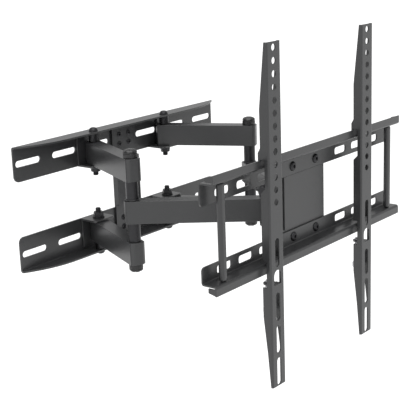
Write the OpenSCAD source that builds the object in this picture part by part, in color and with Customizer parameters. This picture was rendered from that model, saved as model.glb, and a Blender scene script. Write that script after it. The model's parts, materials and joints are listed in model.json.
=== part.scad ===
// Full motion TV wall mount: a wall frame of two angle rails, two pairs of wall arms,
// two forearms, a tilting head and a TV frame with two sliding slotted rails.
// X runs along the wall, the wall is the plane Y = 0, the TV side is -Y, Z is up.
// The origin is on the wall, in the middle of the wall frame. Lengths in millimetres.

/* [Wall frame] */
// Length of each wall rail
wall_rail_len = 424; // [424:2:460]
// Height of the whole wall frame, over both rails
wall_frame_h = 173.2; // [172:0.4:180]
// Height of one wall rail's web
wall_web_h = 48.7; // [46:0.1:50]
// How far a wall rail's flange stands out from the wall
wall_flange = 27; // [27:1:32]
// Steel thickness of the wall rails
wall_sheet = 2.5; // [2:0.5:3]
// Distance from the middle to the innermost wall slots
wall_slot_first = 52; // [50:1:52]
// Distance between neighbouring wall slots
wall_slot_pitch = 67; // [66:0.5:67]
// End to end length of a wall slot
wall_slot_len = 45; // [36:1:45]
// Height of a wall slot
wall_slot_h = 9; // [7:0.5:10]

/* [Arms] */
// Distance from the middle to a shoulder pivot
shoulder_x = 76; // [76:0.5:78]
// Distance from the wall to the shoulder pivots
shoulder_out = 18.9; // [18.9:0.1:20]
// Pivot to pivot length of a wall arm
wall_arm_len = 130; // [128:1:130]
// Pivot to pivot length of a forearm
forearm_len = 180.5; // [180:0.5:184]
// Angle between a wall arm and the wall
arm_angle = 65; // [50:1:70]
// Distance from the middle to a head pivot
head_pivot_x = 26; // [25:0.5:28]
// Height of the wall arm tubes
wall_arm_h = 30.4; // [26:0.2:31]
// Height of the forearm tubes
forearm_h = 30; // [26:0.5:30]
// Width of all arm tubes
arm_w = 21; // [18:0.5:21]

/* [TV frame] */
// Length of the two TV rails
tv_rail_len = 434; // [434:2:460]
// Distance from the head pivots to the front of the TV rails' webs
tv_web_out = 35.3; // [35:0.1:40]
// Depth of a TV rail, from lip to web
tv_rail_depth = 20; // [18:0.5:22]
// Distance from the middle to a slotted rail
rail_x = 108; // [60:1:190]
// Length of a slotted rail
rail_len = 430; // [430:1:470]
// Width of a slotted rail
rail_w = 28.5; // [28:0.5:30]
// Distance between neighbouring round holes of a slotted rail
hole_pitch = 15.45; // [15:0.05:15.6]
// Diameter of the holes and slots for the TV's screws
tv_hole_d = 8.6; // [6:0.2:9]

/* [Hidden] */
$fn = 48;

cut = 1;                // how far a cutter runs past the face it cuts
bend_r = 3.5;           // outer bend radius of the folded steel parts
fit_gap = 0.05;         // radial clearance of a pin in its running bore
loose_gap = 1.1;        // radial clearance at the right head pivot
turn_gap = 0.3;         // gap between flat faces that turn on each other
bolt_r = 4;             // shank radius of all pivot bolts
clear_r = 4.1;          // hole radius where a pivot bolt is clamped
hex_across = 13;        // across the flats of the pivot bolts' heads and nuts
hex_head_h = 5.3;
hex_nut_h = 6.8;
flat_washer_t = 1.6;    // plain steel washers

// Wall frame
wall_top = wall_frame_h / 2;
wall_web_mid = wall_top - wall_web_h / 2;
wall_x = wall_rail_len / 2;
corner_r = 6;
web_corner_r = 8;
flange_sweep = 80;      // length of the curve that ends a flange
flange_end = 1.5;       // what the curve leaves of the flange beyond the fold
plate_w = 49;
plate_t = 3;
plate_z = 81;
plate_lip = 9;          // how far the centre plate's folded edges stand out
plate_lip_t = 2.5;
rivet_x = 10;
rivet_dz = 7;
rivet_r = 2.5;
bracket_t = 3;
bracket_in = 20;        // bracket tab, from the pivot towards the middle
bracket_out = 19.5;     // bracket, from the pivot outwards
tab_depth = 33;
shoulder_head_d = 13;
shoulder_head_h = 5;
shoulder_end = 14;      // shoulder bolt, below the tab

// Heights, measured from the middle of the mount
tab_low = wall_top - wall_web_h;
tab_high = tab_low + bracket_t;
arm_low = tab_high + turn_gap;
arm_high = arm_low + wall_arm_h;
bush_low = arm_high + turn_gap;
bush_high = wall_top - wall_sheet;
fore_top = forearm_h / 2;
washer_t = 1.5;

// Plan positions
elbow_x = shoulder_x + wall_arm_len * cos(arm_angle);
elbow_y = -shoulder_out - wall_arm_len * sin(arm_angle);
fore_angle = acos((elbow_x - head_pivot_x) / forearm_len);
head_y = elbow_y - forearm_len * sin(fore_angle);

// Arm tubes
tube_t = 2;
arm_end = 11;           // from a pivot to the tube's end, cap included
cap_t = 3.5;
sleeve_r = 6;
spacer_r = 8.4;
elbow_cap_r = 9.5;
elbow_cap_h = 12;
elbow_nut_h = 6.5;
plug_insert = 1.2;      // how far an end cap reaches into its tube
plug_gap = 0.2;

// Head
link_plate_t = 4;
link_r = 11;
link_low = fore_top + turn_gap + washer_t;
link_high = link_low + link_plate_t;
ear_t = 3;
ear_r = 11;
head_x = 44;            // from the middle to the outer face of a head ear
head_web_t = 3;
head_web_y = head_y - 13.2;
tilt_y = head_y - 9;
tilt_z = 29;
pivot_end = 8.5;        // head pivot bolt, below the bottom link plate

// TV frame
tv_t = 2;
tv_web_y = head_y - tv_web_out;
tv_lip_y = tv_web_y - tv_rail_depth;
tv_x = tv_rail_len / 2;
upper_flange_z = 76;    // underside of the upper TV rail's flange
lower_flange_z = -43.3; // top of the lower TV rail's flange
upper_web_h = 26.7;
lower_web_h = 19.8;
lip_h = 12;
tongue_w = 92;
tongue_end = -20.5;
tv_slot_first = 89;
tv_slot_pitch = 43;
tv_slot_len = 28;
tv_slot_h = 10;
tv_slot_r = 3.5;
tilt_plate_x = 50;
tilt_plate_t = 3;
tilt_plate_low = lower_flange_z + 0.5;
tilt_plate_high = 74;
frame_bolt_x = 26.5;
frame_bolt_high = 60;
frame_bolt_low = -33;
frame_bolt_r = 3;
frame_bolt_len = 12;
frame_head_d = 12.5;
frame_head_h = 2.8;
frame_nut_across = 10;
frame_nut_h = 5;
frame_hole_gap = 0.2;   // radial clearance of the frame bolts' holes
tab_back = 12;          // depth of the end tabs that stop the slotted rails
web_r = 5;              // corners of the TV rails' webs
side_bar_x = 195;
side_bar_w = 10;
side_bar_t = 8;
side_bar_in = 3;        // from a TV rail's lip to the side bars

// Slotted rails
rail_t = 2;
rail_y = tv_lip_y - 10.3;
rail_top = 227.3;
rail_bend = 2.5;
rail_depth = 12.5;
notch_depth = 6.5;
first_hole = 6.7;
hole_count = 13;
slot_len = 36.6;
slot_width = tv_hole_d;
lock_slot_z = -28.4;
low_slot_z = -98;
low_slot_pitch = 42.8;
tab_z = -69;
tab_w = 14.6;
tab_reach = 20.5;
top_taper = 78;         // length over which a slotted rail's sides taper to its top
low_taper = 93;
hook_in = 12.8;         // hook over the upper lip, its inner and outer depth
hook_out = 15.8;
low_notch_top = -38;    // notch around the lower lip
low_notch_h = 33.4;
screw_out = 15.6;       // lock screw, behind the slotted rail's front
lock_r = 3;
lock_tip = -66;
lock_len = 35;

// ---------- Shared shapes ----------

// Repeats its children on the right (side 1) or mirrored to the left (side -1)
module on_side(side) {
    if (side > 0) children();
    else mirror([1, 0, 0]) children();
}

// Repeats its children above (level 1) or mirrored below (level -1) the middle
module on_level(level) {
    if (level > 0) children();
    else mirror([0, 0, 1]) children();
}

// Sheet standing in the XZ plane, from y = 0 towards the TV side
module standing_sheet(t) {
    rotate([90, 0, 0]) linear_extrude(t) children();
}

// Sheet standing in the YZ plane, from x = 0 towards +X
module side_sheet(t) {
    rotate([90, 0, 90]) linear_extrude(t) children();
}

module slot_2d(len, h) {
    square([len - h, h], center = true);
    for (s = [-1, 1]) translate([s * (len - h) / 2, 0]) circle(d = h);
}

module round_rect_2d(w, h, r) {
    square([w - 2 * r, h], center = true);
    square([w, h - 2 * r], center = true);
    for (x = [-1, 1], y = [-1, 1]) translate([x * (w / 2 - r), y * (h / 2 - r)]) circle(r);
}

// Quarter of a ring in the first quadrant, turned by a
module quarter_ring_2d(r, t, a) {
    rotate(a) intersection() {
        difference() {
            circle(r);
            circle(r - t);
        }
        square(r + cut);
    }
}

// Folded corner along X, centred on x = 0
module bend_along_x(len, r, t, a) {
    translate([-len / 2, 0, 0]) side_sheet(len) quarter_ring_2d(r, t, a);
}

// Ring or tube standing on z = 0
module tube(r_out, r_in, h) {
    difference() {
        cylinder(r = r_out, h = h);
        translate([0, 0, -cut]) cylinder(r = r_in, h = h + 2 * cut);
    }
}

// Domed head with its flat face on z = 0
module dome(d, h) {
    ball = (d * d / 4 + h * h) / (2 * h);
    rotate_extrude() intersection() {
        translate([0, h - ball]) circle(ball, $fn = 96);
        square([d / 2, h]);
    }
}

// Hex nut or head with its flat face on z = 0, bored when bore_r is given
module hex(across, h, bore_r = 0) {
    difference() {
        intersection() {
            cylinder(d = across / cos(30), h = h, $fn = 6);
            cylinder(d1 = across * 1.2, d2 = across * 1.02, h = h);
        }
        if (bore_r > 0) translate([0, 0, -cut]) cylinder(r = bore_r, h = h + 2 * cut);
    }
}

// Bolt shank running down from z = 0, with a chamfered tip
module shank(r, len) {
    tip = r / 4;
    translate([0, 0, tip - len]) cylinder(r = r, h = len - tip);
    translate([0, 0, -len]) cylinder(r1 = r - tip, r2 = r, h = tip);
}

// ---------- Wall frame ----------

// Angle rail: web on the wall, flange standing out at its outer edge
module wall_rail(level) {
    color("dimgray") on_level(level) difference() {
        union() {
            standing_sheet(wall_sheet) wall_web_2d();
            translate([0, -bend_r, wall_top - bend_r])
                bend_along_x(wall_rail_len, bend_r, wall_sheet, 0);
            translate([0, 0, wall_top - wall_sheet]) linear_extrude(wall_sheet) wall_flange_2d();
        }
        for (s = [-1, 1]) translate([s * shoulder_x, -shoulder_out, wall_top - wall_sheet - cut])
            cylinder(r = clear_r, h = wall_sheet + 2 * cut);
    }
}

module wall_web_2d() {
    difference() {
        union() {
            translate([-wall_x, tab_low + web_corner_r])
                square([wall_rail_len, wall_web_h - bend_r - web_corner_r]);
            translate([web_corner_r - wall_x, tab_low])
                square([wall_rail_len - 2 * web_corner_r, web_corner_r]);
            for (s = [-1, 1])
                translate([s * (wall_x - web_corner_r), tab_low + web_corner_r]) circle(web_corner_r);
        }
        for (s = [-1, 1], i = [0 : 2])
            translate([s * (wall_slot_first + i * wall_slot_pitch), wall_web_mid])
                slot_2d(wall_slot_len, wall_slot_h);
        for (x = [-1, 1], z = [-1, 1])
            translate([x * rivet_x, wall_web_mid + z * rivet_dz]) circle(rivet_r + fit_gap);
    }
}

// Flange whose front edge curves back to the fold at both ends
module wall_flange_2d() {
    flat = wall_x - flange_sweep;
    depth = wall_flange - bend_r;
    drop = depth - flange_end;
    sweep_r = (flange_sweep * flange_sweep + drop * drop) / (2 * drop);
    translate([-flat, -wall_flange]) square([2 * flat, depth]);
    for (s = [-1, 1]) on_side(s) intersection() {
        translate([flat, -wall_flange]) square([flange_sweep, depth]);
        translate([flat, sweep_r - wall_flange]) circle(sweep_r, $fn = 180);
    }
}

// Upright plate that joins the two rails, stiffened by folded edges between them
module wall_centre_plate() {
    plate_r = 4;
    rail_gap = 3;
    lip_z = wall_top - wall_web_h - rail_gap;
    color("dimgray") difference() {
        union() {
            translate([0, -wall_sheet, 0]) standing_sheet(plate_t)
                round_rect_2d(plate_w, 2 * plate_z, plate_r);
            for (s = [-1, 1])
                translate([s * (plate_w - plate_lip_t) / 2, -wall_sheet - plate_lip / 2, 0])
                    cube([plate_lip_t, plate_lip, 2 * lip_z], center = true);
        }
        for (x = [-1, 1], z = [-1, 1], l = [-1, 1])
            translate([x * rivet_x, cut, l * (wall_web_mid + z * rivet_dz)]) rotate([90, 0, 0])
                cylinder(r = rivet_r + fit_gap, h = wall_sheet + plate_t + 2 * cut);
    }
}

// Eight rivets, four in each rail
module wall_plate_rivets() {
    head_d = 8.4;
    head_h = 1.6;
    shaft = wall_sheet + plate_t - 0.2;
    color("gray") for (x = [-1, 1], z = [-1, 1], l = [-1, 1])
        translate([x * rivet_x, -wall_sheet - plate_t, l * (wall_web_mid + z * rivet_dz)])
            rotate([90, 0, 0]) {
                dome(head_d, head_h);
                translate([0, 0, -shaft]) cylinder(r = rivet_r, h = shaft);
            }
}

// Angle bracket whose tab carries the inner end of a shoulder bolt
module hinge_bracket(side, level) {
    back_in = 0.5;
    back_top = bush_high - 4;
    color("dimgray") on_level(level) on_side(side) translate([shoulder_x, 0, 0]) difference() {
        union() {
            translate([-back_in, -wall_sheet - bracket_t, tab_high])
                cube([bracket_out + back_in, bracket_t, back_top - tab_high]);
            translate([0, 0, tab_low]) linear_extrude(bracket_t) hinge_tab_2d();
        }
        translate([0, -shoulder_out, tab_low - cut]) cylinder(r = clear_r, h = bracket_t + 2 * cut);
    }
}

module hinge_tab_2d() {
    translate([-bracket_in, -tab_depth + corner_r])
        square([bracket_in + bracket_out, tab_depth - wall_sheet - corner_r]);
    translate([-bracket_in + corner_r, -tab_depth])
        square([bracket_in + bracket_out - 2 * corner_r, tab_depth - wall_sheet]);
    for (x = [-bracket_in + corner_r, bracket_out - corner_r])
        translate([x, -tab_depth + corner_r]) circle(corner_r);
}

// Places its children at the four shoulder pivots, outside face of the flange at z = 0
module at_shoulders(z) {
    for (side = [-1, 1], level = [-1, 1]) on_level(level)
        translate([side * shoulder_x, -shoulder_out, z]) children();
}

module shoulder_bolts() {
    color("dimgray") at_shoulders(wall_top) {
        dome(shoulder_head_d, shoulder_head_h);
        shank(bolt_r, wall_top - tab_low + shoulder_end);
    }
}

// Plain washer and hex nut below each tab
module shoulder_nuts() {
    washer_r = 8.5;
    color("dimgray") at_shoulders(tab_low - flat_washer_t) {
        tube(washer_r, clear_r, flat_washer_t);
        mirror([0, 0, 1]) hex(hex_across, hex_nut_h, clear_r);
    }
}

module shoulder_bushes() {
    bush_r = 7;
    color("silver") at_shoulders(bush_low) tube(bush_r, clear_r, bush_high - bush_low);
}

// ---------- Arms ----------

// Moves from the local frame of a wall arm, pivot to pivot along X, to its place
module wall_arm_place(side) {
    on_side(side) translate([shoulder_x, -shoulder_out, 0]) rotate(-arm_angle) children();
}

module forearm_place(side) {
    on_side(side) translate([elbow_x, elbow_y, 0]) rotate(180 + fore_angle) children();
}

// Square-cut rectangular tube between two pivots, drilled for a sleeve at each
module arm_tube(len, h) {
    body = arm_end - cap_t;
    difference() {
        translate([-body, -arm_w / 2, 0]) cube([len + 2 * body, arm_w, h]);
        translate([-body - cut, tube_t - arm_w / 2, tube_t])
            cube([len + 2 * (body + cut), arm_w - 2 * tube_t, h - 2 * tube_t]);
        for (x = [0, len]) translate([x, 0, -cut]) cylinder(r = sleeve_r + fit_gap, h = h + 2 * cut);
    }
}

// Cap for a tube's end at x = -arm_end: a rounded face and a short insert
module end_plug(h) {
    insert_w = arm_w - 2 * (tube_t + plug_gap);
    linear_extrude(h) intersection() {
        round_rect_2d(2 * arm_end, arm_w, corner_r);
        translate([-arm_end - cut, -arm_w]) square([cap_t + cut, 2 * arm_w]);
    }
    translate([cap_t - arm_end, -insert_w / 2, tube_t + plug_gap])
        cube([plug_insert, insert_w, h - 2 * (tube_t + plug_gap)]);
}

module end_plugs(len, h) {
    end_plug(h);
    translate([len, 0, 0]) mirror([1, 0, 0]) end_plug(h);
}

module wall_arm(side, level) {
    color("dimgray") on_level(level) wall_arm_place(side)
        translate([0, 0, arm_low]) arm_tube(wall_arm_len, wall_arm_h);
}

module arm_end_caps(side) {
    color("dimgray") for (level = [-1, 1]) on_level(level) wall_arm_place(side)
        translate([0, 0, arm_low]) end_plugs(wall_arm_len, wall_arm_h);
}

// Pivot sleeves: running bore at the shoulder, clamped bore at the elbow
module arm_sleeves(side) {
    color("silver") for (level = [-1, 1]) on_level(level) wall_arm_place(side)
        translate([0, 0, arm_low]) {
            tube(sleeve_r, bolt_r + fit_gap, wall_arm_h);
            translate([wall_arm_len, 0, 0]) tube(sleeve_r, clear_r, wall_arm_h);
        }
}

module at_elbow(side) {
    on_side(side) translate([elbow_x, elbow_y, 0]) children();
}

// Long bolt through both wall arms and the forearm, with its nut
module elbow_bolt(side) {
    tip = 1;
    color("silver") at_elbow(side) {
        translate([0, 0, arm_high]) hex(hex_across, hex_head_h);
        translate([0, 0, arm_high]) shank(bolt_r, 2 * arm_high + elbow_nut_h + tip);
        mirror([0, 0, 1]) translate([0, 0, arm_high]) hex(hex_across, elbow_nut_h);
    }
}

module elbow_spacers(side) {
    low = fore_top + turn_gap + washer_t;
    color("dimgray") at_elbow(side) for (level = [-1, 1]) on_level(level)
        translate([0, 0, low]) tube(spacer_r, clear_r, arm_low - low);
}

module elbow_washers(side) {
    washer_r = 9.2;
    color("black") at_elbow(side) for (level = [-1, 1]) on_level(level)
        translate([0, 0, fore_top + turn_gap]) tube(washer_r, clear_r, washer_t);
}

// Hollow covers over the bolt's head and its nut: a domed cup with a straight skirt
module elbow_caps(side) {
    skirt = 7;
    hollow_r = 7.8;
    hollow_h = 8;
    color([0.12, 0.12, 0.12]) at_elbow(side) for (level = [-1, 1]) on_level(level)
        translate([0, 0, arm_high]) difference() {
            union() {
                cylinder(r = elbow_cap_r, h = skirt);
                translate([0, 0, skirt]) dome(2 * elbow_cap_r, elbow_cap_h - skirt);
            }
            translate([0, 0, -cut]) cylinder(r = hollow_r, h = hollow_h + cut);
        }
}

module forearm(side) {
    color("dimgray") forearm_place(side)
        translate([0, 0, -fore_top]) arm_tube(forearm_len, forearm_h);
}

module forearm_end_caps(side) {
    color("dimgray") forearm_place(side)
        translate([0, 0, -fore_top]) end_plugs(forearm_len, forearm_h);
}

// The right forearm's head sleeve is bored wide, so that the loop of arms can close
module forearm_sleeves(side) {
    head_gap = side > 0 ? loose_gap : fit_gap;
    color("silver") forearm_place(side) translate([0, 0, -fore_top]) {
        tube(sleeve_r, bolt_r + fit_gap, forearm_h);
        translate([forearm_len, 0, 0]) tube(sleeve_r, bolt_r + head_gap, forearm_h);
    }
}

// ---------- Head ----------

// Link plate that carries both head pivots, rounded at its wall side
module head_link_plate(level) {
    color("dimgray") on_level(level) translate([0, head_y, link_low]) linear_extrude(link_plate_t)
        difference() {
            union() {
                slot_2d(2 * head_x, 2 * link_r);
                translate([-head_x, head_web_y - head_y]) square([2 * head_x, head_y - head_web_y]);
            }
            for (s = [-1, 1]) translate([s * head_pivot_x, 0]) circle(clear_r);
        }
}

// Upright plate that joins the two link plates, in front of the forearms
module head_web() {
    color("dimgray") translate([0, head_web_y, 0]) standing_sheet(head_web_t)
        square([2 * head_x, 2 * link_high], center = true);
}

// Ear that stands on the top link plate and carries the tilt axis
module head_ear(side) {
    color("dimgray") on_side(side) translate([head_x - ear_t, 0, 0]) side_sheet(ear_t) difference() {
        union() {
            translate([tilt_y, tilt_z]) circle(ear_r);
            translate([tilt_y - ear_r, link_high]) square([2 * ear_r, tilt_z - link_high]);
        }
        translate([tilt_y - 2 * ear_r, link_high - 2 * ear_r]) square([4 * ear_r, 2 * ear_r]);
        translate([tilt_y, tilt_z]) circle(bolt_r + fit_gap);
    }
}

module at_head_pivots(z) {
    for (side = [-1, 1]) translate([side * head_pivot_x, head_y, z]) children();
}

module head_pivot_bolts() {
    color("dimgray") at_head_pivots(link_high) {
        hex(hex_across, hex_head_h);
        shank(bolt_r, 2 * link_high + pivot_end);
    }
}

module head_pivot_nuts() {
    color("dimgray") mirror([0, 0, 1]) at_head_pivots(link_high)
        hex(hex_across, hex_nut_h, clear_r);
}

module head_pivot_washers() {
    washer_r = 9;
    color("black") for (level = [-1, 1]) on_level(level)
        at_head_pivots(fore_top + turn_gap) tube(washer_r, clear_r, washer_t);
}

// Places its children on the tilt axis, with local +Z pointing outwards along X
module at_tilt_ears(x) {
    for (side = [-1, 1]) on_side(side) translate([x, tilt_y, tilt_z]) rotate([0, 90, 0]) children();
}

// Each with its plain washer
module tilt_bolts() {
    washer_r = 9.5;
    shaft = 17.5;
    color("dimgray") at_tilt_ears(tilt_plate_x + turn_gap) {
        tube(washer_r, clear_r, flat_washer_t);
        translate([0, 0, flat_washer_t]) {
            hex(hex_across, hex_head_h);
            shank(bolt_r, shaft);
        }
    }
}

module tilt_nuts() {
    color("dimgray") at_tilt_ears(head_x - ear_t) mirror([0, 0, 1])
        hex(hex_across, hex_nut_h, clear_r);
}

// Friction washers between the head's ears and the tilt plate's ears
module tilt_washers() {
    washer_r = 9.5;
    gap = tilt_plate_x - ear_t - head_x - turn_gap;
    color("black") at_tilt_ears(head_x) tube(washer_r, clear_r, gap);
}

// ---------- TV frame ----------

// Plate bolted behind the webs of both TV rails
module tilt_plate() {
    middle = (tilt_plate_low + tilt_plate_high) / 2;
    h = tilt_plate_high - tilt_plate_low;
    plate_r = 5;
    color("dimgray") translate([0, tv_web_y + tv_t + tilt_plate_t, 0]) standing_sheet(tilt_plate_t)
        difference() {
            translate([0, middle]) round_rect_2d(2 * tilt_plate_x, h, plate_r);
            for (s = [-1, 1], z = [frame_bolt_low, frame_bolt_high])
                translate([s * frame_bolt_x, z]) circle(frame_bolt_r + frame_hole_gap);
        }
}

// Ear welded to the back of the tilt plate, reaching back to the tilt axis
module tilt_ear(side) {
    root = tv_web_y + tv_t + tilt_plate_t;
    color("dimgray") on_side(side) translate([tilt_plate_x - ear_t, 0, 0]) side_sheet(ear_t)
        difference() {
            union() {
                translate([tilt_y, tilt_z]) circle(ear_r);
                translate([root, tilt_z - ear_r]) square([tilt_y - root, 2 * ear_r]);
            }
            translate([tilt_y, tilt_z]) circle(bolt_r + fit_gap);
        }
}

// Z-shaped rail: lip and web folded to opposite sides of a flat flange at z = 0.
// Drawn with the lip up and the web down; end tabs stop the slotted rails.
module tv_rail(web_h, slot_z) {
    tab_slope = 3;
    translate([0, tv_web_y + tv_t, 0]) standing_sheet(tv_t) difference() {
        union() {
            translate([-tv_x, tv_t - web_h + web_r]) square([tv_rail_len, web_h - bend_r - web_r]);
            translate([web_r - tv_x, tv_t - web_h]) square([tv_rail_len - 2 * web_r, web_r]);
            for (s = [-1, 1]) translate([s * (tv_x - web_r), tv_t - web_h + web_r]) circle(web_r);
        }
        for (s = [-1, 1], i = [0 : 2])
            translate([s * (tv_slot_first + i * tv_slot_pitch), slot_z])
                round_rect_2d(tv_slot_len, tv_slot_h, tv_slot_r);
        for (s = [-1, 1])
            translate([s * frame_bolt_x, slot_z]) circle(frame_bolt_r + frame_hole_gap);
    }
    translate([0, tv_web_y + tv_t - bend_r, tv_t - bend_r])
        bend_along_x(tv_rail_len, bend_r, tv_t, 0);
    translate([-tv_x, tv_lip_y + bend_r, 0])
        cube([tv_rail_len, tv_rail_depth + tv_t - 2 * bend_r, tv_t]);
    translate([0, tv_lip_y + bend_r, bend_r]) bend_along_x(tv_rail_len, bend_r, tv_t, 180);
    translate([-tv_x, tv_lip_y, bend_r]) cube([tv_rail_len, tv_t, lip_h - bend_r]);
    for (s = [-1, 1]) translate([s * (tv_x - tv_t / 2) - tv_t / 2, tv_lip_y, 0])
        side_sheet(tv_t)
            polygon([[0, bend_r], [tab_back, bend_r], [tab_back, lip_h - tab_slope], [0, lip_h]]);
}

module upper_tv_rail() {
    color("dimgray") translate([0, 0, upper_flange_z])
        tv_rail(upper_web_h + tv_t, frame_bolt_high - upper_flange_z);
}

// Wide tongue that carries the upper rail's web on downwards, in front of the tilt plate
module tv_rail_tongue() {
    color("dimgray") translate([-tongue_w / 2, tv_web_y, tongue_end])
        cube([tongue_w, tv_t, upper_flange_z - upper_web_h - tongue_end]);
}

module lower_tv_rail() {
    color("dimgray") mirror([0, 0, 1]) translate([0, 0, -lower_flange_z])
        tv_rail(lower_web_h + tv_t, lower_flange_z - frame_bolt_low);
}

// Upright bar between the two flanges, near the ends of the TV rails
module side_bar(side) {
    color("dimgray") on_side(side)
        translate([side_bar_x - side_bar_w / 2, tv_lip_y + side_bar_in, lower_flange_z])
            cube([side_bar_w, side_bar_t, upper_flange_z - lower_flange_z]);
}

module at_frame_bolts(y) {
    for (s = [-1, 1], z = [frame_bolt_low, frame_bolt_high])
        translate([s * frame_bolt_x, y, z]) rotate([90, 0, 0]) children();
}

module frame_bolts() {
    color("dimgray") at_frame_bolts(tv_web_y) {
        dome(frame_head_d, frame_head_h);
        shank(frame_bolt_r, frame_bolt_len);
    }
}

module frame_nuts() {
    color("dimgray") at_frame_bolts(tv_web_y + tv_t + tilt_plate_t)
        mirror([0, 0, 1]) hex(frame_nut_across, frame_nut_h, frame_bolt_r + 0.1);
}

// ---------- Slotted rails and lock screws ----------

// C-channel for the TV's screws, hooked over the upper lip, with a folded-back
// tab below the lower lip that carries the lock screw
module slotted_rail(side) {
    flat = rail_w - 2 * rail_bend;
    color("dimgray") translate([side * rail_x, rail_y, 0]) {
        translate([0, rail_t, 0]) standing_sheet(rail_t) rail_face_2d(flat);
        for (s = [-1, 1]) on_side(s) {
            translate([flat / 2, rail_bend, rail_top - rail_len]) linear_extrude(rail_len)
                quarter_ring_2d(rail_bend, rail_t, -90);
            translate([rail_w / 2 - rail_t, 0, 0]) side_sheet(rail_t) rail_flange_2d();
        }
        lock_tab();
    }
}

module rail_face_2d(flat) {
    arch_top = tab_z + tab_reach - rail_t - tab_w / 2;
    difference() {
        translate([-flat / 2, rail_top - rail_len]) square([flat, rail_len]);
        for (i = [0 : hole_count - 1]) translate([0, rail_top - first_hole - i * hole_pitch])
            circle(d = tv_hole_d);
        for (z = [lock_slot_z, low_slot_z, low_slot_z - low_slot_pitch, low_slot_z - 2 * low_slot_pitch])
            translate([0, z]) rotate(90) slot_2d(slot_len, slot_width);
        translate([-tab_w / 2, tab_z]) square([tab_w, arch_top - tab_z]);
        translate([0, arch_top]) circle(d = tab_w);
    }
}

// Side wall of a slotted rail, seen along X with the front at y = 0: tapered towards
// both ends, hooked over the upper lip and notched around the lower one
module rail_flange_2d() {
    bottom = rail_top - rail_len;
    hook_roof = upper_flange_z + lip_h + turn_gap;
    hook_tip = upper_flange_z + tv_t + 1.5;
    mouth_low = 45;
    mouth_slope = 8;
    difference() {
        union() {
            polygon([
                [rail_bend, rail_top],
                [4.5, rail_top],
                [rail_depth, rail_top - top_taper],
                [rail_depth, bottom + low_taper],
                [7, bottom + 45],
                [3.2, bottom],
                [rail_bend, bottom]
            ]);
            polygon([
                [rail_depth - cut, hook_roof + 14],
                [rail_depth, hook_roof + 14],
                [hook_out, hook_roof + 8],
                [hook_out, hook_tip],
                [hook_in, hook_tip],
                [rail_depth - cut, hook_roof]
            ]);
        }
        polygon([
            [notch_depth, hook_roof],
            [hook_in, hook_roof],
            [hook_in, hook_tip],
            [hook_out + cut, hook_tip],
            [hook_out + cut, mouth_low],
            [rail_depth, mouth_low + 2],
            [notch_depth, mouth_low + mouth_slope]
        ]);
        translate([notch_depth, low_notch_top - low_notch_h]) square([rail_depth, low_notch_h]);
    }
}

// Tab cut from the arched window and folded back, with the lock screw's bore
module lock_tab() {
    reach = tab_reach - tab_w / 2;
    translate([0, 0, tab_z - rail_t]) linear_extrude(rail_t) difference() {
        union() {
            translate([-tab_w / 2, 0]) square([tab_w, reach]);
            translate([0, reach]) circle(d = tab_w);
        }
        translate([0, screw_out]) circle(lock_r + fit_gap);
    }
}

// Screw that rises behind the lower lip and stops the rail from swinging off
module lock_screw(side) {
    head_r = 6;
    head_h = 8;
    tip = 1;
    grips = 16;
    grip_r = 0.8;
    grip_out = 6.4;
    color("silver") translate([side * rail_x, rail_y + screw_out, lock_tip]) {
        translate([0, 0, -lock_len]) cylinder(r = lock_r, h = lock_len - tip);
        translate([0, 0, -tip]) cylinder(r1 = lock_r, r2 = lock_r - tip, h = tip);
        translate([0, 0, -lock_len - head_h]) difference() {
            cylinder(r = head_r, h = head_h);
            for (i = [0 : grips - 1]) rotate(i * 360 / grips) translate([grip_out, 0, -cut])
                cylinder(r = grip_r, h = head_h + 2 * cut, $fn = 16);
        }
    }
}

// ---------- Nodes ----------

wall_rail(1);  // upper_wall_rail
wall_rail(-1);  // lower_wall_rail
wall_centre_plate();
wall_plate_rivets();
hinge_bracket(-1, 1);  // upper_left_hinge_bracket
hinge_bracket(1, 1);  // upper_right_hinge_bracket
hinge_bracket(-1, -1);  // lower_left_hinge_bracket
hinge_bracket(1, -1);  // lower_right_hinge_bracket
shoulder_bolts();
shoulder_nuts();
shoulder_bushes();
wall_arm(-1, 1);  // upper_left_arm
wall_arm(-1, -1);  // lower_left_arm
arm_end_caps(-1);  // left_arm_end_caps
arm_sleeves(-1);  // left_arm_sleeves
elbow_bolt(-1);  // left_elbow_bolt
elbow_spacers(-1);  // left_elbow_spacers
elbow_washers(-1);  // left_elbow_washers
elbow_caps(-1);  // left_elbow_caps
wall_arm(1, 1);  // upper_right_arm
wall_arm(1, -1);  // lower_right_arm
arm_end_caps(1);  // right_arm_end_caps
arm_sleeves(1);  // right_arm_sleeves
elbow_bolt(1);  // right_elbow_bolt
elbow_spacers(1);  // right_elbow_spacers
elbow_washers(1);  // right_elbow_washers
elbow_caps(1);  // right_elbow_caps
forearm(-1);  // left_forearm
forearm_end_caps(-1);  // left_forearm_end_caps
forearm_sleeves(-1);  // left_forearm_sleeves
forearm(1);  // right_forearm
forearm_end_caps(1);  // right_forearm_end_caps
forearm_sleeves(1);  // right_forearm_sleeves
head_link_plate(1);  // head_top_plate
head_link_plate(-1);  // head_bottom_plate
head_web();
head_ear(-1);  // left_head_ear
head_ear(1);  // right_head_ear
head_pivot_bolts();
head_pivot_nuts();
head_pivot_washers();
tilt_bolts();
tilt_nuts();
tilt_washers();
tilt_plate();
tilt_ear(-1);  // left_tilt_ear
tilt_ear(1);  // right_tilt_ear
upper_tv_rail();
tv_rail_tongue();
lower_tv_rail();
side_bar(-1);  // left_side_bar
side_bar(1);  // right_side_bar
frame_bolts();
frame_nuts();
slotted_rail(-1);  // left_slotted_rail
slotted_rail(1);  // right_slotted_rail
lock_screw(-1);  // left_lock_screw
lock_screw(1);  // right_lock_screw
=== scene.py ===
"""A full motion TV wall mount of charcoal powder-coated steel, over a pale studio floor.

A piece stands in for every CAD node, in its place and almost exactly of its size. Most are the
node's own shape with broken edges. Elbow caps, lock screws, rivets and the bolts that show are
made anew.
"""
import json
import math

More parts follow.
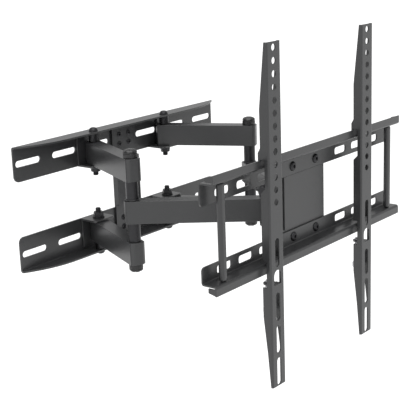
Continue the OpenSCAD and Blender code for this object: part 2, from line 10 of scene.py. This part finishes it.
import bmesh
import bpy
from mathutils import Matrix, Vector


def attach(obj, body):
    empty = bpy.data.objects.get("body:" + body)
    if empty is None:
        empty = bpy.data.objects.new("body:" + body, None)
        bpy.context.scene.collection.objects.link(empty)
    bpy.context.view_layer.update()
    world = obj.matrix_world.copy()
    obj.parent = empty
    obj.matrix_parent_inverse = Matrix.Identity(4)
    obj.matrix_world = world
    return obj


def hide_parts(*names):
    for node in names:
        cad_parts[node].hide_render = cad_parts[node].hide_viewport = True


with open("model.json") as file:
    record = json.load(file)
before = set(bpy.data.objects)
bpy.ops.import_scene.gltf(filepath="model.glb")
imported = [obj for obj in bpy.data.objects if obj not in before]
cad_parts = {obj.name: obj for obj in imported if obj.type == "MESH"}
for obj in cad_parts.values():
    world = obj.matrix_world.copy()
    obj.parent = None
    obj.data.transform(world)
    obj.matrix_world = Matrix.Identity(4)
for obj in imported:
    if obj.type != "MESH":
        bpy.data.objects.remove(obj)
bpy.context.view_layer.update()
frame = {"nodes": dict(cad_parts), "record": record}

MM = 0.001
Y_AXIS, Z_AXIS = 1, 2                  # places of the coordinates in a vector


# ---------- Camera, light and floor ----------

CAMERA_PLACE = (-1.13985, -1.06428, 0.36316)
CAMERA_HEADING = math.radians(51.49)   # from straight at the wall, round to the right
CAMERA_DIP = math.radians(14.83)       # below level
CAMERA_ROLL = math.radians(-2.04)
CAMERA_LENS = 93.48                    # on a sensor SENSOR_WIDTH wide
SENSOR_WIDTH = 36
CAMERA_REACH = 50

MOUNT_MIDDLE = (0, -0.18, 0.0)         # roughly; the lights are aimed here
FLOOR_Z = -1.2                         # the mount's lowest point hangs 1 m above this
FLOOR_HALF = 80                        # so wide that no horizon shows from the camera


def add_camera():
    """The camera stands at the left, a little above the mount, and looks down on it."""
    level = math.cos(CAMERA_DIP)
    view = Vector((
        math.sin(CAMERA_HEADING) * level,
        math.cos(CAMERA_HEADING) * level,
        -math.sin(CAMERA_DIP),
    ))
    level_right = Vector((math.cos(CAMERA_HEADING), -math.sin(CAMERA_HEADING), 0))
    level_up = level_right.cross(view)
    right = level_right * math.cos(CAMERA_ROLL) + level_up * math.sin(CAMERA_ROLL)
    up = level_up * math.cos(CAMERA_ROLL) - level_right * math.sin(CAMERA_ROLL)
    data = bpy.data.cameras.new("camera")
    data.lens = CAMERA_LENS
    data.sensor_width = SENSOR_WIDTH
    data.clip_end = CAMERA_REACH
    camera = bpy.data.objects.new("camera", data)
    camera.matrix_world = Matrix((right, up, -view)).transposed().to_4x4()
    camera.location = CAMERA_PLACE
    bpy.context.scene.collection.objects.link(camera)
    bpy.context.scene.camera = camera


def aimed_light(name, kind, place, power):
    """A light that shines from its place at the middle of the mount."""
    data = bpy.data.lights.new(name, kind)
    data.energy = power
    light = bpy.data.objects.new(name, data)
    light.location = place
    toward = Vector(MOUNT_MIDDLE) - Vector(place)
    light.rotation_euler = toward.to_track_quat("-Z", "Y").to_euler()
    bpy.context.scene.collection.objects.link(light)
    return data


def add_area_light(name, place, size, power):
    data = aimed_light(name, "AREA", place, power)
    data.shape = "DISK"
    data.size = size


def add_sky_light(place, spread, power):
    """A wide, distant light, so that the floor is lit evenly out to the horizon."""
    data = aimed_light("sky", "SUN", place, power)
    data.angle = spread


def add_world(strength):
    world = bpy.data.worlds.new("studio")
    world.use_nodes = True
    background = world.node_tree.nodes["Background"]
    background.inputs["Color"].default_value = (1, 1, 1, 1)
    background.inputs["Strength"].default_value = strength
    bpy.context.scene.world = world
    bpy.context.scene.view_settings.view_transform = "Standard"


def add_floor():
    corners = [(-1, -1), (1, -1), (1, 1), (-1, 1)]
    mesh = bpy.data.meshes.new("floor")
    mesh.from_pydata([(x * FLOOR_HALF, y * FLOOR_HALF, 0) for x, y in corners], [], [(0, 1, 2, 3)])
    floor = bpy.data.objects.new("floor", mesh)
    floor.location = (0, 0, FLOOR_Z)
    floor.data.materials.append(floor_material())
    bpy.context.scene.collection.objects.link(floor)


def add_studio():
    add_sky_light(place=(-0.3, -0.4, 2.2), spread=math.radians(60), power=2.0)
    add_area_light("key", place=(-1.2, -2.0, 1.4), size=1.0, power=9)
    add_area_light("side", place=(-2.6, -0.6, 0.7), size=1.2, power=7)
    add_world(strength=0.75)
    add_floor()


# ---------- Materials ----------

class Shader:
    """A material with a Principled shader, and short calls that add and link nodes to it."""

    def __init__(self, name):
        self.material = bpy.data.materials.new(name)
        self.material.use_nodes = True
        self.tree = self.material.node_tree
        self.principled = self.tree.nodes["Principled BSDF"]
        self.place = self.add("ShaderNodeTexCoord").outputs["Object"]

    def add(self, kind, **settings):
        node = self.tree.nodes.new(kind)
        for key, value in settings.items():
            setattr(node, key, value)
        return node

    def link(self, source, target):
        self.tree.links.new(source, target)

    def set(self, **values):
        """Sets sockets of the Principled shader by name, as in set(Specular_IOR_Level=0.1)."""
        for key, value in values.items():
            self.principled.inputs[key.replace("_", " ")].default_value = value

    def noise(self, scale, detail=2.0, roughness=0.5, stretch=None):
        place = self.place
        if stretch:
            mapping = self.add("ShaderNodeMapping")
            mapping.inputs["Scale"].default_value = stretch
            self.link(place, mapping.inputs["Vector"])
            place = mapping.outputs["Vector"]
        node = self.add("ShaderNodeTexNoise")
        node.inputs["Scale"].default_value = scale
        node.inputs["Detail"].default_value = detail
        node.inputs["Roughness"].default_value = roughness
        self.link(place, node.inputs["Vector"])
        return node.outputs["Fac"]

    def remap(self, source, given, wanted):
        """Carries the given range of a value, (low, high), onto the wanted one."""
        node = self.add("ShaderNodeMapRange")
        node.inputs["From Min"].default_value, node.inputs["From Max"].default_value = given
        node.inputs["To Min"].default_value, node.inputs["To Max"].default_value = wanted
        self.link(source, node.inputs["Value"])
        return node.outputs["Result"]

    def calculate(self, operation, first, second):
        node = self.add("ShaderNodeMath", operation=operation)
        for socket, value in zip(node.inputs, (first, second)):
            if isinstance(value, bpy.types.NodeSocket):
                self.link(value, socket)
            else:
                socket.default_value = value
        return node.outputs["Value"]

    def blend(self, factor, first, second):
        """Mixes two colours, each an (r, g, b) or another socket."""
        node = self.add("ShaderNodeMix", data_type="RGBA")
        self.link(factor, node.inputs[0])
        for socket, value in ((node.inputs[6], first), (node.inputs[7], second)):
            if isinstance(value, bpy.types.NodeSocket):
                self.link(value, socket)
            else:
                socket.default_value = (*value, 1)
        return node.outputs[2]

    def soft_edge(self, radius):
        """A normal that is rounded over every edge, and how much of an edge each point is on."""
        bevel = self.add("ShaderNodeBevel", samples=4)
        bevel.inputs["Radius"].default_value = radius
        flat = self.add("ShaderNodeNewGeometry").outputs["Normal"]
        likeness = self.add("ShaderNodeVectorMath", operation="DOT_PRODUCT")
        self.link(bevel.outputs["Normal"], likeness.inputs[0])
        self.link(flat, likeness.inputs[1])
        edge = self.remap(likeness.outputs["Value"], (0.995, 0.8), (0.0, 1.0))
        return bevel.outputs["Normal"], edge

    def bump(self, height, strength, distance, normal=None):
        node = self.add("ShaderNodeBump")
        node.inputs["Strength"].default_value = strength
        node.inputs["Distance"].default_value = distance
        self.link(height, node.inputs["Height"])
        if normal:
            self.link(normal, node.inputs["Normal"])
        return node.outputs["Normal"]

    def finish(self, color, roughness, normal):
        self.link(color, self.principled.inputs["Base Color"])
        self.link(roughness, self.principled.inputs["Roughness"])
        self.link(normal, self.principled.inputs["Normal"])
        return self.material


def scaled(color, factor):
    return tuple(min(1.0, c * factor) for c in color)


def floor_material():
    s = Shader("pale_floor")
    s.set(Specular_IOR_Level=0.1)
    color = s.blend(s.noise(3.0), (0.93, 0.93, 0.93), (0.955, 0.955, 0.955))
    rough = s.remap(s.noise(9.0), (0, 1), (0.75, 0.9))
    normal = s.bump(s.noise(220), strength=0.05, distance=1 * MM)
    return s.finish(color, rough, normal)


def powder_coat(name, base, roughness):
    """Satin powder coat: fine orange peel, faint cloudiness, scuffs, and edges worn lighter."""
    grain = 1500
    s = Shader(name)
    edge_normal, edge = s.soft_edge(0.7 * MM)
    cloud = s.noise(26, detail=3)
    speck = s.noise(grain, roughness=0.6)
    scuff = s.noise(95, detail=4, roughness=0.65, stretch=(1, 1, 0.25))
    scuff = s.remap(scuff, (0.62, 0.75), (0.0, 1.0))
    body = s.blend(cloud, scaled(base, 0.88), scaled(base, 1.12))
    body = s.blend(s.remap(speck, (0.35, 0.7), (0.0, 0.35)), body, scaled(base, 1.35))
    body = s.blend(s.calculate("MULTIPLY", scuff, 0.22), body, scaled(base, 1.5))
    patches = s.remap(s.noise(160, detail=3), (0.35, 0.65), (0.25, 0.75))
    wear = s.calculate("MULTIPLY", edge, patches)
    color = s.blend(wear, body, scaled(base, 2.0))
    rough = s.remap(speck, (0.2, 0.8), (roughness - 0.07, roughness + 0.09))
    rough = s.calculate("SUBTRACT", rough, s.calculate("MULTIPLY", wear, 0.1))
    peel = s.bump(s.noise(grain * 0.45), strength=0.10, distance=0.4 * MM, normal=edge_normal)
    normal = s.bump(speck, strength=0.22, distance=0.15 * MM, normal=peel)
    return s.finish(color, rough, normal)


def moulded_plastic(name, base, roughness):
    """Moulded plastic with a spark-eroded grain and edges polished by handling."""
    s = Shader(name)
    edge_normal, edge = s.soft_edge(0.6 * MM)
    grain = s.noise(2600, roughness=0.7)
    body = s.blend(s.noise(60, detail=3), scaled(base, 0.8), scaled(base, 1.25))
    color = s.blend(s.calculate("MULTIPLY", edge, 0.5), body, scaled(base, 2.2))
    rough = s.remap(grain, (0.2, 0.8), (roughness - 0.08, roughness + 0.1))
    normal = s.bump(grain, strength=0.25, distance=0.12 * MM, normal=edge_normal)
    return s.finish(color, rough, normal)


def plated_steel(name, base, roughness):
    """Plated steel: fine lines drawn out along Z, faint stains and rubbed edges."""
    s = Shader(name)
    s.set(Metallic=0.9)
    edge_normal, edge = s.soft_edge(0.35 * MM)
    lines = s.noise(900, detail=3, roughness=0.6, stretch=(1, 1, 0.06))
    stain = s.noise(130, detail=4, roughness=0.6)
    body = s.blend(stain, scaled(base, 0.78), scaled(base, 1.18))
    color = s.blend(s.calculate("MULTIPLY", edge, 0.45), body, scaled(base, 1.7))
    fine_rough = s.remap(lines, (0.3, 0.7), (-0.05, 0.06))
    broad_rough = s.remap(stain, (0.3, 0.7), (roughness, roughness + 0.12))
    rough = s.calculate("ADD", fine_rough, broad_rough)
    normal = s.bump(lines, strength=0.12, distance=0.08 * MM, normal=edge_normal)
    return s.finish(color, rough, normal)


def make_materials():
    """One material for each slot, under the slot's name."""
    kinds = {
        "powder_coated_steel": (powder_coat, (0.0245, 0.025, 0.026), 0.32),
        "black_plastic": (moulded_plastic, (0.005, 0.005, 0.0055), 0.26),
        "black_nylon": (moulded_plastic, (0.018, 0.018, 0.02), 0.38),
        "black_hardware": (plated_steel, (0.035, 0.035, 0.037), 0.30),
        "zinc_steel": (plated_steel, (0.5, 0.51, 0.53), 0.28),
        "stainless_screw": (plated_steel, (0.45, 0.45, 0.47), 0.25),
    }
    return {slot: kind(slot, base, roughness) for slot, (kind, base, roughness) in kinds.items()}


# ---------- Standing in for CAD nodes ----------

WELD = 0.001 * MM                      # points this close are one point
SHARP = math.radians(35)               # a fold beyond this angle is an edge


def body_of(node):
    bodies = frame["record"]["behaviour"]["bodies"]
    return next(body for body, nodes in bodies.items() if node in nodes)


def stand_in(piece, node, slot, materials):
    """Puts a piece in the place of a CAD node, on its body and in its finish."""
    piece.data.materials.clear()
    piece.data.materials.append(materials[slot])
    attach(piece, body_of(node))
    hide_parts(node)


# ---------- Pieces with broken edges ----------

EDGE = {                               # how far the edges of each finish are broken
    "powder_coated_steel": 0.45 * MM,
    "black_plastic": 0.8 * MM,
    "black_hardware": 0.3 * MM,
    "zinc_steel": 0.25 * MM,
    "black_nylon": 0.2 * MM,
    "stainless_screw": 0.25 * MM,
}
EDGE_STEPS = 2
ROUND_BARS = ("left_side_bar", "right_side_bar")   # drawn from round-edged stock
ROUND_BAR_EDGE = 3.4 * MM
ROUND_BAR_STEPS = 6
PLATED = ("left_elbow_spacers", "right_elbow_spacers")   # dark plated, not powder coated
REMADE = {                             # nodes that get a shape of their own further down
    "left_elbow_caps", "right_elbow_caps", "left_lock_screw", "right_lock_screw",
    "frame_bolts", "shoulder_bolts", "head_pivot_bolts", "wall_plate_rivets",
}
FLAT = math.radians(0.5)               # triangles within this angle are one flat face
FACE_WEIGHT = 100                      # how strongly large faces stay flat beside a bevel


def flat_faced(source):
    """A copy of a mesh whose flat faces are whole again, instead of cut into triangles."""
    mesh = source.copy()
    if "custom_normal" in mesh.attributes:
        mesh.attributes.remove(mesh.attributes["custom_normal"])
    work = bmesh.new()
    work.from_mesh(mesh)
    bmesh.ops.remove_doubles(work, verts=work.verts, dist=WELD)
    bmesh.ops.dissolve_limit(work, angle_limit=FLAT, verts=work.verts, edges=work.edges)
    work.to_mesh(mesh)
    work.free()
    return mesh


def apply_modifiers(obj):
    """Turns an object's modifiers into mesh."""
    bpy.context.view_layer.update()
    evaluated = obj.evaluated_get(bpy.context.evaluated_depsgraph_get())
    result = bpy.data.meshes.new_from_object(evaluated)
    obj.modifiers.clear()
    obj.data = result


def break_edges(node, slot, materials):
    """The node's own shape, its sharp edges rounded as folding and coating leave them."""
    piece = bpy.data.objects.new(node + "_finished", flat_faced(frame["nodes"][node].data))
    bpy.context.scene.collection.objects.link(piece)
    piece.data.shade_smooth()
    is_bar = node in ROUND_BARS
    bevel = piece.modifiers.new("edges", "BEVEL")
    bevel.width = ROUND_BAR_EDGE if is_bar else EDGE[slot]
    bevel.segments = ROUND_BAR_STEPS if is_bar else EDGE_STEPS
    bevel.limit_method = "ANGLE"
    bevel.angle_limit = SHARP
    bevel.use_clamp_overlap = True
    weighted = piece.modifiers.new("flat faces", "WEIGHTED_NORMAL")
    weighted.weight = FACE_WEIGHT
    apply_modifiers(piece)
    stand_in(piece, node, slot, materials)


def finish_nodes(materials):
    slots = {part["node"]: part["material_slot"] for part in frame["record"]["subparts"]}
    for node in sorted(frame["nodes"]):
        if node not in REMADE:
            break_edges(node, "black_hardware" if node in PLATED else slots[node], materials)


# ---------- Outlines and surfaces of turned and moulded pieces ----------

def round_at(r):
    return lambda angle: r


def ribbed_at(r, depth, count):
    """The outline of a knob with grooves round it, or of a lobed one when the grooves are few."""
    return lambda angle: r - depth * (0.5 - 0.5 * math.cos(count * angle)) ** 2


def hexagon_at(across):
    """The outline of a hexagon, given across its flats."""
    return lambda angle: across / 2 / math.cos((angle % (math.pi / 3)) - math.pi / 6)


def ring_surface(rings, around):
    """A closed surface through rings, each (height, radius at an angle), from end to end."""
    work = bmesh.new()
    loops = []
    for height, radius in rings:
        loop = []
        for i in range(around):
            angle = 2 * math.pi * i / around
            r = radius(angle)
            loop.append(work.verts.new((r * math.cos(angle), r * math.sin(angle), height)))
        loops.append(loop)
    for low, high in zip(loops, loops[1:]):
        for i in range(around):
            j = (i + 1) % around
            work.faces.new((low[i], low[j], high[j], high[i]))
    work.faces.new(list(reversed(loops[0])))
    work.faces.new(loops[-1])
    bmesh.ops.recalc_face_normals(work, faces=work.faces)
    return work


def threaded_rings(low, high, r, pitch):
    """Rings that climb a screw thread: each is off-round, and turned a little from the last."""
    depth = 0.55 * pitch
    rings_per_turn = 6
    count = max(2, round((high - low) / pitch * rings_per_turn))
    rings = []
    for k in range(count + 1):
        height = low + (high - low) * k / count

        def radius(angle, turns=(high - low) * k / count / pitch):
            ridge = abs(((turns - angle / (2 * math.pi)) % 1) * 2 - 1)
            return r - depth * (1 - ridge)
        rings.append((height, radius))
    return rings


# ---------- The shapes themselves, each drawn up from z = 0 ----------

def elbow_cap(h, r):
    """Push-on cap: a ribbed skirt, a groove and a low dome with six lobes."""
    skirt = ribbed_at(r, 0.45 * MM, 20)
    groove = round_at(r * 0.93)
    rings = [(0, round_at(r * 0.96)), (0.4 * MM, skirt), (0.5 * h, skirt)]
    rings += [(0.53 * h, groove), (0.58 * h, groove), (0.61 * h, round_at(r * 0.985))]
    dome_from = 0.66 * h
    for degrees in range(0, 90, 10):
        turn = math.radians(degrees)
        dome_r = r * 0.98 * (0.12 + 0.88 * math.cos(turn))
        lobe = 0.9 * MM * math.sin(2 * turn)
        rings.append((dome_from + (h - dome_from) * math.sin(turn), ribbed_at(dome_r, lobe, 6)))
    return ring_surface(rings, 80)


def shank_rings(r, seat, thread, pitch):
    """A bolt's tip, its thread and the plain shank up to the seat of its head."""
    rings = [(0, round_at(r * 0.78)), (0.15 * r, round_at(r * 0.8))]
    rings += threaded_rings(0.2 * r, thread, r, pitch)
    return rings + [(thread + 0.2 * MM, round_at(r)), (seat, round_at(r))]


def button_bolt(h, r, head_h, shank_r, thread, pitch, socket):
    """Bolt with a rounded head and a hex socket, head up."""
    seat = h - head_h
    rings = shank_rings(shank_r, seat, thread, pitch) + [(seat, round_at(r))]
    dome_turn = 66
    dome_rings = 6
    for k in range(1, dome_rings + 1):
        turn = math.radians(dome_turn * k / dome_rings)
        rise = math.sin(turn) / math.sin(math.radians(dome_turn))
        rings.append((seat + head_h * rise, round_at(r * math.cos(turn) ** 0.7)))
    socket_floor = h - 0.75 * head_h
    rings += [(h - 0.15 * MM, hexagon_at(socket * 1.15)), (h - 0.4 * MM, hexagon_at(socket))]
    rings += [(socket_floor, hexagon_at(socket)), (socket_floor - 0.3 * MM, round_at(socket * 0.3))]
    return ring_surface(rings, 48)


def hex_bolt(h, across, head_h, shank_r, thread, pitch):
    """Bolt with a chamfered hex head, slightly dished on top, head up."""
    seat = h - head_h
    rings = shank_rings(shank_r, seat, thread, pitch)
    rings += [(seat, round_at(across * 0.47)), (seat + 0.3 * MM, hexagon_at(across))]
    rings += [(h - 0.9 * MM, hexagon_at(across)), (h - 0.4 * MM, hexagon_at(across * 0.97))]
    rings += [(h, round_at(across * 0.44)), (h, round_at(across * 0.3))]
    rings += [(h - 0.25 * MM, round_at(across * 0.26))]
    return ring_surface(rings, 48)


def pull_rivet(h, r):
    """Blind rivet, head up: a low head, hollow where its mandrel has snapped off."""
    shank = round_at(2.5 * MM)
    seat = h - 1.6 * MM
    rings = [(0, shank), (seat, shank), (seat, round_at(r)), (seat + 0.4 * MM, round_at(r))]
    rings += [(h - 0.35 * MM, round_at(r * 0.72)), (h, round_at(r * 0.5))]
    rings += [(h - 0.2 * MM, round_at(r * 0.4)), (h - 1.7 * MM, round_at(r * 0.34))]
    rings += [(h - 1.9 * MM, round_at(r * 0.1))]
    return ring_surface(rings, 40)


def lock_screw(h, head_r, head_h):
    """Thumb screw, its knurled head at the bottom, threaded along its whole shank."""
    knurl = ribbed_at(head_r, 0.5 * MM, 20)
    rings = [(0, round_at(4.4 * MM)), (0.5 * MM, round_at(5.5 * MM)), (1.2 * MM, knurl)]
    rings += [(head_h - 1.2 * MM, knurl), (head_h - 0.4 * MM, round_at(5.4 * MM))]
    rings += [(head_h, round_at(4.6 * MM)), (head_h, round_at(2.9 * MM))]
    rings += threaded_rings(head_h + 0.3 * MM, h - 1.2 * MM, 3 * MM, 1 * MM)
    rings += [(h - 0.6 * MM, round_at(2.2 * MM)), (h, round_at(1.9 * MM))]
    return ring_surface(rings, 60)


# ---------- Setting the shapes into their nodes ----------

def islands(node):
    """The boxes of a node's separate solids, each (low corner, high corner), in a fixed order."""
    work = bmesh.new()
    work.from_mesh(frame["nodes"][node].data)
    bmesh.ops.remove_doubles(work, verts=work.verts, dist=WELD)
    left = set(work.verts)
    boxes = []
    while left:
        stack = [left.pop()]
        seen = list(stack)
        while stack:
            for edge in stack.pop().link_edges:
                for vert in edge.verts:
                    if vert in left:
                        left.remove(vert)
                        stack.append(vert)
                        seen.append(vert)
        low = Vector(min(v.co[a] for v in seen) for a in range(3))
        high = Vector(max(v.co[a] for v in seen) for a in range(3))
        boxes.append((low, high))
    work.free()
    return sorted(boxes, key=lambda box: [round(c, 5) for c in (*box[0], *box[1])])


def facing(low, high, axis, forward):
    """The place of a shape drawn up from z = 0, set into a box to point along an axis."""
    at = (low + high) / 2
    at[axis] = low[axis] if forward else high[axis]
    away = Vector((0, 0, 0))
    away[axis] = 1 if forward else -1
    turn = away.to_track_quat("Z", "Y").to_matrix().to_4x4()
    return Matrix.Translation(at) @ turn


def joined_mesh(name, placed_shapes):
    """One mesh of several shapes, each given as (bmesh, matrix)."""
    joined = bmesh.new()
    for shape, place in placed_shapes:
        part = bpy.data.meshes.new("part")
        shape.to_mesh(part)
        shape.free()
        part.transform(place)
        joined.from_mesh(part)
        bpy.data.meshes.remove(part)
    mesh = bpy.data.meshes.new(name)
    joined.to_mesh(mesh)
    joined.free()
    return mesh


def remake(node, ending, slot, axis, forward, shape, materials):
    """Puts a shape(height, radius) in place of each solid of a node.

    The solids lie along one axis, and forward tells from a solid's low corner whether the shape
    points up that axis.
    """
    placed = []
    for low, high in islands(node):
        size = high - low
        placed.append((shape(size[axis], size.x / 2), facing(low, high, axis, forward(low))))
    name = node + ending
    mesh = joined_mesh(name, placed)
    piece = bpy.data.objects.new(name, mesh)
    bpy.context.scene.collection.objects.link(piece)
    mesh.shade_smooth()
    mesh.set_sharp_from_angle(angle=SHARP)
    stand_in(piece, node, slot, materials)


def always(low):
    return True


def never(low):
    return False


def is_upper(low):
    return low.z > 0


def frame_bolt(h, r):
    return button_bolt(h, r, head_h=2.8 * MM, shank_r=3 * MM, thread=6 * MM, pitch=1 * MM,
                       socket=4 * MM)


def shoulder_bolt(h, r):
    return button_bolt(h, r, head_h=5 * MM, shank_r=4 * MM, thread=24 * MM, pitch=1.25 * MM,
                       socket=5 * MM)


def head_pivot_bolt(h, r):
    """Made across its flats, so the radius of its box isn't used."""
    return hex_bolt(h, across=13 * MM, head_h=5.3 * MM, shank_r=4 * MM, thread=20 * MM,
                    pitch=1.25 * MM)


def knurled_lock_screw(h, r):
    """Made to its own radius, because the knurling makes its box a little smaller."""
    return lock_screw(h, head_r=6 * MM, head_h=8 * MM)


def remake_details(materials):
    for side in ("left", "right"):
        remake(side + "_elbow_caps", "_moulded", "black_plastic", Z_AXIS, is_upper,
               elbow_cap, materials)
        remake(side + "_lock_screw", "_turned", "stainless_screw", Z_AXIS, always,
               knurled_lock_screw, materials)
    remake("frame_bolts", "_turned", "black_hardware", Y_AXIS, never, frame_bolt, materials)
    remake("shoulder_bolts", "_turned", "black_hardware", Z_AXIS, is_upper,
           shoulder_bolt, materials)
    remake("head_pivot_bolts", "_turned", "black_hardware", Z_AXIS, always,
           head_pivot_bolt, materials)
    remake("wall_plate_rivets", "_pulled", "black_hardware", Y_AXIS, never,
           pull_rivet, materials)


add_camera()
add_studio()
surfaces = make_materials()
finish_nodes(surfaces)
remake_details(surfaces)
